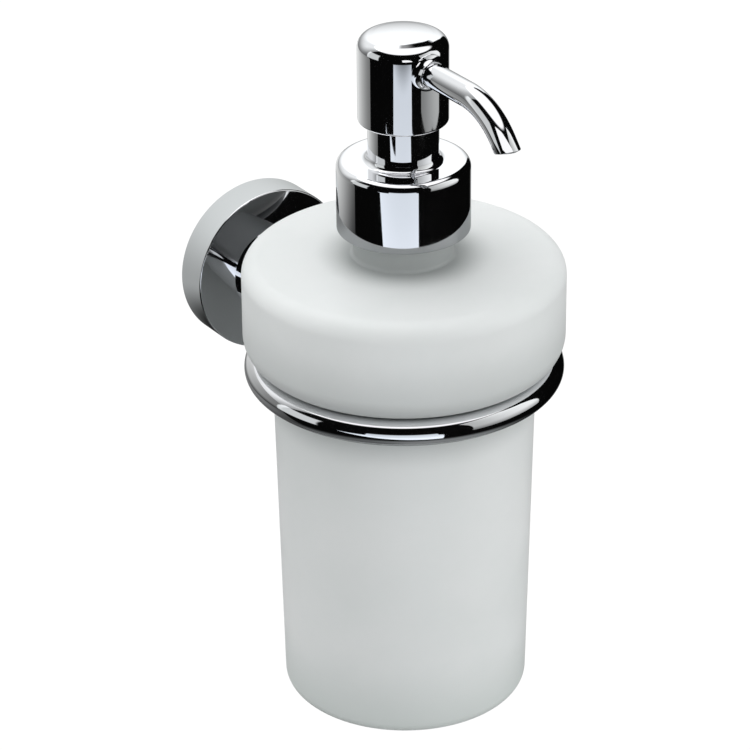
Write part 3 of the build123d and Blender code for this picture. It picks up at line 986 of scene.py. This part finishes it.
@dataclass
class PumpHead(Assembly):
    """Domed head, spout and the flare at the spout's root."""

    radius: float = 11.9
    bore: float = 10.1
    bore_round: float = 0.3
    bottom: float = 71.047
    inside: float = 92.297
    inside_round: float = 1.6
    edge: float = 93.897
    top: float = 95.397
    edge_round: float = 3.4
    lip_round: float = 0.6
    dome_rings: int = 10
    spout_radius: float = 3.33
    spout_bore: float = 2.2
    spout_root: float = 9.0
    spout_straight: float = 28.3
    spout_bend: float = 20.5
    spout_angle: float = 49.0
    spout_tail: float = 3.1
    spout_sides: int = 64
    bend_steps: int = 28
    tip_angle: float = 22.0
    tip_bevel: float = 0.18
    tip_segments: int = 3
    tip_sharp: float = 50.0
    flare: float = 1.5
    flare_gap: float = 0.02
    flare_lip: float = 0.15
    flare_sink: float = 0.4
    flare_lip_round: float = 0.06
    flare_sweep: float = 0.96
    flare_steps: int = 96
    steps: int = 144

    def build(self) -> None:
        """Build and dress the head's pieces."""
        self.dress(self.cap(), Slot.CHROME, Body.HEAD, "head_shell")
        self.dress(self.spout(), Slot.CHROME, Body.HEAD, "spout")
        self.dress(self.ferrule(), Slot.CHROME, Body.HEAD, "spout_ferrule")

    def cap(self) -> Piece:
        """Turn the domed cap.

        Returns:
            The cap.
        """
        rise = self.top - self.edge
        dome = (self.radius ** 2 + rise ** 2) / (2 * rise)
        reach = self.radius - self.edge_round
        radii = [reach * k / self.dome_rings for k in range(self.dome_rings)]
        crown = [(r, self.top - dome + math.sqrt(dome ** 2 - r ** 2)) for r in radii]
        rest = rounded((
            Corner(*crown[-1]), Corner(self.radius, self.edge, self.edge_round),
            Corner(self.radius, self.bottom, self.lip_round), Corner(self.bore, self.bottom, self.bore_round),
            Corner(self.bore, self.inside, self.inside_round), Corner(0, self.inside),
        ))
        return turned("head_cap", Lathe.BOTTLE, [*crown[:-1], *rest], self.steps)

    def spout(self) -> Piece:
        """Extrude, bend and cut the spout's tube.

        Returns:
            The spout.
        """
        root = Lathe.SPOUT.point(0, self.spout_root)
        ring = [root + Vector((x, 0, z)) * MM for x, z in circle(self.spout_radius, self.spout_sides)]
        piece = draw_profile("spout_tube", ring, join=True)
        straight = Vector((0, self.spout_root - self.spout_straight, 0)) * MM
        bpy.ops.mesh.extrude_region_move(TRANSFORM_OT_translate={"value": straight})
        pivot = Lathe.SPOUT.point(0, self.spout_straight) - Vector((0, 0, self.spout_bend * MM))
        angle = math.radians(self.spout_angle)
        bpy.ops.mesh.spin(steps=self.bend_steps, angle=angle, center=pivot, axis=(-1, 0, 0))
        way = Vector((0, -math.cos(angle), -math.sin(angle)))
        past_tip = way * (self.spout_tail + 2 * self.spout_radius) * MM
        bpy.ops.mesh.extrude_region_move(TRANSFORM_OT_translate={"value": past_tip})
        bend_end = pivot + Vector((0, -math.sin(angle), math.cos(angle))) * self.spout_bend * MM
        lean = angle + math.radians(self.tip_angle)
        bpy.ops.mesh.select_all(action="SELECT")
        bpy.ops.mesh.bisect(plane_co=bend_end + way * self.spout_tail * MM,
                            plane_no=(0, -math.cos(lean), -math.sin(lean)), clear_outer=True)
        bpy.ops.mesh.select_all(action="SELECT")
        bpy.ops.mesh.normals_make_consistent(inside=False)
        bpy.ops.object.mode_set(mode="OBJECT")
        apply_modifier(piece, "SOLIDIFY", thickness=(self.spout_radius - self.spout_bore) * MM, offset=-1.0,
                       use_even_offset=True)
        apply_modifier(piece, "BEVEL", width=self.tip_bevel * MM, segments=self.tip_segments,
                       limit_method="ANGLE", angle_limit=math.radians(self.tip_sharp))
        shade(piece)
        return piece

    def ferrule(self) -> Piece:
        """Turn the flare and seat its foot on the round side of the head.

        Returns:
            The ferrule.
        """
        inner = self.spout_radius + self.flare_gap
        lip = inner + self.flare_lip
        foot = lip + self.flare
        low, high = self.radius - self.flare_sink, self.radius + self.flare
        profile = rounded((
            Corner(inner, low), Corner(inner, high),
            Corner(lip, high, self.flare_lip_round), Corner(lip, self.radius, self.flare * self.flare_sweep),
            Corner(foot, self.radius), Corner(foot, low),
        ), closed=True)
        piece = turned("spout_flare", Lathe.SPOUT, profile, self.flare_steps)
        for vertex in piece.data.vertices:
            sag = self.radius - math.sqrt(self.radius ** 2 - (vertex.co.x / MM) ** 2)
            reach = -vertex.co.y / MM - AXIS_OUT - self.radius
            vertex.co.y += sag * max(0.0, 1.0 - max(0.0, reach) / self.flare) * MM
        piece.data.update()
        return piece


@dataclass
class PumpInside(Assembly):
    """The pieces inside the bracket, neck and bottle, which keep their solids, and the spring."""

    coil_radius: float = 3.7
    coil_wire: float = 0.5
    coil_low: float = 21.717
    coil_high: float = 43.677
    coil_turns: int = 6
    coil_steps: int = 48
    wire_sides: int = 14
    press_stroke: float = 9.0
    kept: dict[Slot, tuple[str, ...]] = field(default_factory=lambda: {
        Slot.ZINC: ("wall_plate",),
        Slot.STEEL: ("grub_screw", "arm_screw", "arm_dowel", "ring_stud", "inlet_ball", "outlet_ball"),
        Slot.RUBBER: ("neck_gasket", "piston"),
        Slot.PLASTIC: (
            "pump_housing", "guide_bush", "ball_cage", "closure_insert", "piston_stem", "head_insert"),
        Slot.TUBE: ("dip_tube",),
    })

    def build(self, nodes: dict[str, Piece]) -> None:
        """Finish the kept solids and wind the spring.

        Args:
            nodes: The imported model's nodes.
        """
        for slot, names in self.kept.items():
            for name in names:
                self.finish(nodes[name], slot)
                LOG.info("%s: solid kept, %s", name, slot.value)
        spring = self.dress(self.spring(), Slot.STEEL, Body.PUMP, "return_spring")
        Lathe.BOTTLE.point(0, self.coil_low)
        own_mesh(spring)

    def spring(self) -> Piece:
        """Wind the return spring from its wire's round section.

        Returns:
            The spring.
        """
        first = self.coil_low + self.coil_wire
        section = [(self.coil_radius + r, first + h) for r, h in circle(self.coil_wire, self.wire_sides)]
        pitch = (self.coil_high - self.coil_low - 2 * self.coil_wire) / self.coil_turns
        return wound("spring_coil", section, pitch, self.coil_turns, self.coil_steps)


# Studio


def direction(bearing: float, height: float) -> Vector:
    """Give a direction from the object.

    Args:
        bearing: Bearing from the front, in degrees.
        height: Height in degrees.

    Returns:
        The direction, of length one.
    """
    turn, rise = math.radians(bearing), math.radians(height)
    return Vector((math.sin(turn) * math.cos(rise), -math.cos(turn) * math.cos(rise), math.sin(rise)))


def hide_from(piece: Piece, *rays: str) -> None:
    """Hide a piece of the studio from kinds of rays."""
    for ray in rays:
        setattr(piece, f"visible_{ray}", False)


@dataclass(frozen=True)
class LightCard:
    """A lit card that stands near the object and shows in reflections, not to the camera.

    The outline runs round the card as distance across and height, in millimetres. Its light grows from the
    dim share to the full share between two heights, along its width from the near share to the full share,
    and past the full height on to the far share. What is farther off than the reach sees through it.
    """

    name: str
    bearing: float
    distance: float
    outline: tuple[Point, ...]
    light: Colour
    dim_height: float
    full_height: float
    dim_share: float
    near_share: float = 1.0
    far_height: float = 1000.0
    far_share: float = 1.0
    reach: float = 1000.0

    def build(self, camera_bearing: float) -> None:
        """Stand the card in the studio.

        Args:
            camera_bearing: The camera's bearing from the object, in degrees.
        """
        turn = math.radians(camera_bearing + self.bearing)
        outward = Vector((math.sin(turn), -math.cos(turn), 0))
        across = Vector((math.cos(turn), math.sin(turn), 0))
        middle = Vector((0, -AXIS_OUT, -RING_DROP)) + outward * self.distance
        corners = (*self.outline, self.outline[0])
        path = [(middle + across * s + Vector((0, 0, h))) * MM for s, h in corners]
        card = draw_profile(self.name, path, join=True)
        bpy.ops.mesh.edge_face_add()
        bpy.ops.object.mode_set(mode="OBJECT")
        card.data.materials.append(self._glow(across, middle.dot(across)))
        hide_from(card, "camera", "diffuse", "shadow")

    def _glow(self, across: Vector, middle: float) -> bpy.types.Material:
        """Make the card's light.

        Args:
            across: Direction along the card's width.
            middle: Where the card's middle lies in that direction, in millimetres.

        Returns:
            The card's material.
        """
        material, desk = new_material(self.name)
        desk.tree.nodes.clear()
        place = desk.add("ShaderNodeTexCoord").outputs["Object"]
        height = desk.split(place)["Z"]
        dim, full, far = metres((self.dim_height, self.full_height, self.far_height))
        low = desk.ramp(height, dim, full, self.dim_share, 1.0)
        high = desk.ramp(height, full, far, 1.0, self.far_share)
        ends = [middle + s for s, _ in self.outline]
        along = desk.vector("DOT_PRODUCT", place, across)
        width = desk.ramp(along, *metres((min(ends), max(ends))), self.near_share, 1.0)
        glow = desk.add("ShaderNodeEmission", (*self.light, 1.0), desk.times(desk.times(low, high), width))
        ray_length = desk.add("ShaderNodeLightPath").outputs["Ray Length"]
        beyond = desk.math("GREATER_THAN", ray_length, self.reach * MM)
        seen = desk.blend(beyond, glow, desk.add("ShaderNodeBsdfTransparent"))
        desk.add("ShaderNodeOutputMaterial", seen.outputs[0])
        return material


@dataclass(frozen=True)
class Lobe:
    """A soft light from one side: bearing from the camera and height in degrees, tightness and strength."""

    bearing: float
    height: float
    tightness: float
    strength: float

    def light(self, desk: NodeDesk, way: Socket) -> Socket:
        """Give the light that comes from a direction.

        Args:
            desk: The world's tree.
            way: Direction in the camera's bearing: X to the right, Y away from it.

        Returns:
            The light.
        """
        middle = direction(self.bearing, self.height)
        facing = desk.math("MAXIMUM", desk.vector("DOT_PRODUCT", way, middle), 0.0)
        return desk.times(desk.math("POWER", facing, self.tightness), self.strength)


@dataclass
class Studio:
    """Floor, light and the camera that stands where the photograph was taken.

    Bearings and heights of what reflections show are in degrees, from the camera's side of the object, and
    for the wall from straight behind it.
    """

    azimuth: float = -34.5
    elevation: float = 27.309
    distance: float = 1016.0
    focal_pixels: float = 3800.0
    frame_pixels: float = 750.0
    sensor: float = 36.0
    right_pixels: float = 29.27
    up_pixels: float = 12.06
    roll: float = -0.004
    nearest: float = 0.01
    farthest: float = 20.0
    floor_height: float = -165.0
    floor_size: float = 12.0
    floor_colour: Colour = (0.9, 0.9, 0.9)
    floor_glow: float = 1.04
    floor_glow_share: float = 0.8
    dome: Fade = (-0.35, 0.35, 0.02, 0.46)
    lobes: tuple[Lobe, ...] = (
        Lobe(-130.0, 60.0, 4.0, 1.68), Lobe(0.0, -14.0, 2.0, 0.56), Lobe(80.0, -4.0, 2.0, 1.20),
        Lobe(-92.0, 0.0, 2.5, 0.64),
    )
    room: Colour = (0.002, 0.002, 0.002)
    ceiling: Colour = (1.16, 1.16, 1.16)
    ceiling_lean: float = 7.5
    ceiling_edge: Fade = (32.5, 38.5, 1.0, 0.0)
    wall: Colour = (1.0, 1.02, 1.02)
    wall_low: Fade = (-55.0, -24.0, 0.03, 0.20)
    wall_high: Fade = (-12.0, 35.0, 0.0, 0.72)
    wall_left: Fade = (-90.0, -52.0, 0.38, 1.0)
    wall_middle: Fade = (-34.0, -8.0, 0.0, 0.4)
    wall_span: Hill = (-89.25, -86.75, 18.75, 21.25)
    wall_slope: float = 0.92
    wall_top: Fade = (42.0, 46.0, 1.0, 0.0)
    table: Colour = (0.20, 0.21, 0.21)
    table_heights: Fade = (-66.0, -42.0, 1.0, 0.0)
    table_bearings: Fade = (-60.0, 30.0, 0.5, 1.0)
    left_card: Colour = (0.64, 0.66, 0.66)
    card_bearings: Hill = (-98.5, -95.5, -63.5, -60.5)
    card_heights: Hill = (-12.0, -8.0, 26.0, 30.0)
    cards: tuple[LightCard, ...] = (
        LightCard("front_card", 0.0, 200.0,
                  ((-84, 22), (72, 22), (76, -16), (85, -21), (91, -34), (92, -60), (102, -165), (0, -123),
                   (-190, -42), (-138, -37), (-90, -30)),
                  (0.69, 0.74, 0.80), 18.0, -2.0, 0.0, far_height=-110.0, far_share=1.5),
        LightCard("right_card", 76.0, 340.0,
                  ((-204, -90), (0, -73), (150, -82), (150, 280), (90, 420), (-204, 420)),
                  (0.98, 1.0, 0.99), -85.0, 90.0, 0.46, near_share=0.5),
        LightCard("back_card", -128.0, 150.0, ((-110, -50), (125, -50), (125, 62), (-110, 62)),
                  (0.20, 0.203, 0.20), -46.0, -4.0, 0.24, near_share=4.25),
        LightCard("rim_card", -145.5, 95.0, ((-36, -38), (40, -38), (56, -14), (56, 24), (30, 56), (-36, 56)),
                  (0.37, 0.385, 0.38), -37.0, -12.0, 0.03, far_height=48.0, far_share=2.0, reach=65.0),
        LightCard("spout_card", 5.0, 71.0, ((-7, 90), (48, 92), (48, 112), (23, 128), (-12, 130)),
                  (1.1, 1.1, 1.1), 70.0, 80.0, 1.0, reach=62.0),
    )

    def build(self) -> None:
        """Build the studio."""
        self.place_camera()
        self.lay_floor()
        for card in self.cards:
            card.build(self.azimuth)
        self.light_world()

    def place_camera(self) -> None:
        """Stand the camera where the photograph was taken."""
        target = Vector((0, -AXIS_OUT, -RING_DROP)) * MM
        back = direction(self.azimuth, self.elevation)
        data = bpy.data.cameras.new("photo_camera")
        data.sensor_fit = "HORIZONTAL"
        data.sensor_width = self.sensor
        data.lens = self.focal_pixels / self.frame_pixels * self.sensor
        data.clip_start = self.nearest
        data.clip_end = self.farthest
        camera = bpy.data.objects.new("photo_camera", data)
        bpy.context.scene.collection.objects.link(camera)
        camera.location = target + back * self.distance * MM
        aim = (-back).to_track_quat("-Z", "Y")
        left = Quaternion((0, 1, 0), math.atan(self.right_pixels / self.focal_pixels))
        down = Quaternion((1, 0, 0), -math.atan(self.up_pixels / self.focal_pixels))
        camera.rotation_mode = "QUATERNION"
        camera.rotation_quaternion = aim @ left @ down @ Quaternion((0, 0, 1), self.roll)
        bpy.context.scene.camera = camera

    def lay_floor(self) -> None:
        """Lay the pale floor below the bottle; from underneath it is clear."""
        bpy.ops.object.select_all(action="DESELECT")
        bpy.ops.mesh.primitive_plane_add(size=self.floor_size, location=(0, 0, self.floor_height * MM))
        floor = bpy.context.object
        floor.name = "pale_floor"
        material, desk = new_material("pale_floor")
        shader = desk.find("BSDF_PRINCIPLED")
        shader.inputs["Base Color"].default_value = (*self.floor_colour, 1.0)
        shader.inputs["Roughness"].default_value = 1.0
        shader.inputs["Specular IOR Level"].default_value = 0.0
        glow = desk.add("ShaderNodeEmission", (*WHITE, 1.0), self.floor_glow)
        lit = desk.blend(self.floor_glow_share, shader, glow)
        below = desk.add("ShaderNodeNewGeometry").outputs["Backfacing"]
        seen = desk.blend(below, lit, desk.add("ShaderNodeBsdfTransparent"))
        desk.feed(desk.find("OUTPUT_MATERIAL").inputs["Surface"], seen.outputs[0])
        floor.data.materials.append(material)
        hide_from(floor, "diffuse", "glossy", "shadow")

    def light_world(self) -> None:
        """Surround the object: a dome lights it, reflections show the studio, the camera sees white."""
        world = bpy.data.worlds.new("studio_world")
        bpy.context.scene.world = world
        world.use_nodes = True
        desk = NodeDesk(world.node_tree)
        desk.tree.nodes.clear()
        place = desk.add("ShaderNodeTexCoord").outputs["Generated"]
        turn = desk.add("ShaderNodeVectorRotate", place, rotation_type="Z_AXIS")
        turn.inputs["Angle"].default_value = -math.radians(self.azimuth)
        way = turn.outputs[0]
        path = desk.add("ShaderNodeLightPath").outputs
        lit = desk.mix(path["Is Glossy Ray"], self._dome(desk, way), self._mirrored(desk, way))
        background = desk.add("ShaderNodeBackground", desk.mix(path["Is Camera Ray"], lit, WHITE))
        desk.add("ShaderNodeOutputWorld", background.outputs[0])

    def _dome(self, desk: NodeDesk, way: Socket) -> Socket:
        """Give the soft light that falls on the object.

        Args:
            desk: The world's tree.
            way: Direction in the camera's bearing: X to the right, Y away from it.

        Returns:
            The light.
        """
        total = desk.ramp(desk.split(way)["Z"], *self.dome)
        for lobe in self.lobes:
            total = desk.math("ADD", total, lobe.light(desk, way))
        return desk.lit(WHITE, total)

    def _mirrored(self, desk: NodeDesk, way: Socket) -> Socket:
        """Give the studio that reflections show: ceiling light, wall behind, table and a far card.

        Args:
            desk: The world's tree.
            way: Direction in the camera's bearing: X to the right, Y away from it.

        Returns:
            The light.
        """
        across, away, up = desk.split(way)
        height = desk.degrees("ARCSINE", up)
        front = desk.degrees("ARCTAN2", across, desk.times(away, -1.0))
        behind = desk.degrees("ARCTAN2", across, away)
        lean = math.radians(self.ceiling_lean)
        to_ceiling = desk.vector("DOT_PRODUCT", way, (0.0, math.sin(lean), math.cos(lean)))
        card = desk.times(desk.hill(front, self.card_bearings), desk.hill(height, self.card_heights))
        table = desk.times(desk.ramp(height, *self.table_heights), desk.ramp(front, *self.table_bearings))
        lights = (
            (self.ceiling, desk.ramp(desk.degrees("ARCCOSINE", to_ceiling), *self.ceiling_edge)),
            (self.wall, self._wall_share(desk, behind, height)),
            (self.table, table),
            (self.left_card, card),
        )
        total: object = self.room
        for light, share in lights:
            total = desk.vector("ADD", total, desk.lit(light, share))
        return total

    def _wall_share(self, desk: NodeDesk, behind: Socket, height: Socket) -> Socket:
        """Give how bright the wall behind is: it fades downwards and towards its left edge.

        Args:
            desk: The world's tree.
            behind: Bearing from straight behind, in degrees.
            height: Height in degrees.

        Returns:
            The share.
        """
        glow = desk.math("ADD", desk.ramp(height, *self.wall_low), desk.ramp(height, *self.wall_high))
        back = desk.math("ADD", desk.ramp(behind, *self.wall_left), desk.ramp(behind, *self.wall_middle))
        top = desk.math("ADD", height, desk.times(behind, self.wall_slope))
        share = desk.times(desk.hill(behind, self.wall_span), desk.ramp(top, *self.wall_top))
        return desk.times(share, desk.times(glow, back))


def main() -> None:
    """Load the frame, build each sub-assembly in order and set up the studio."""
    logging.basicConfig(level=logging.INFO, format="%(name)s %(message)s")
    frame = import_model()
    bpy.context.scene.view_settings.view_transform = "Standard"
    finishes = {finish.slot: finish.build() for finish in FINISHES}
    WallBracket(finishes).build()
    GlassBottle(finishes).build()
    PumpCollar(finishes).build()
    PumpHead(finishes).build()
    PumpInside(finishes).build(frame["nodes"])
    Studio().build()


if __name__ == "__main__":
    main()
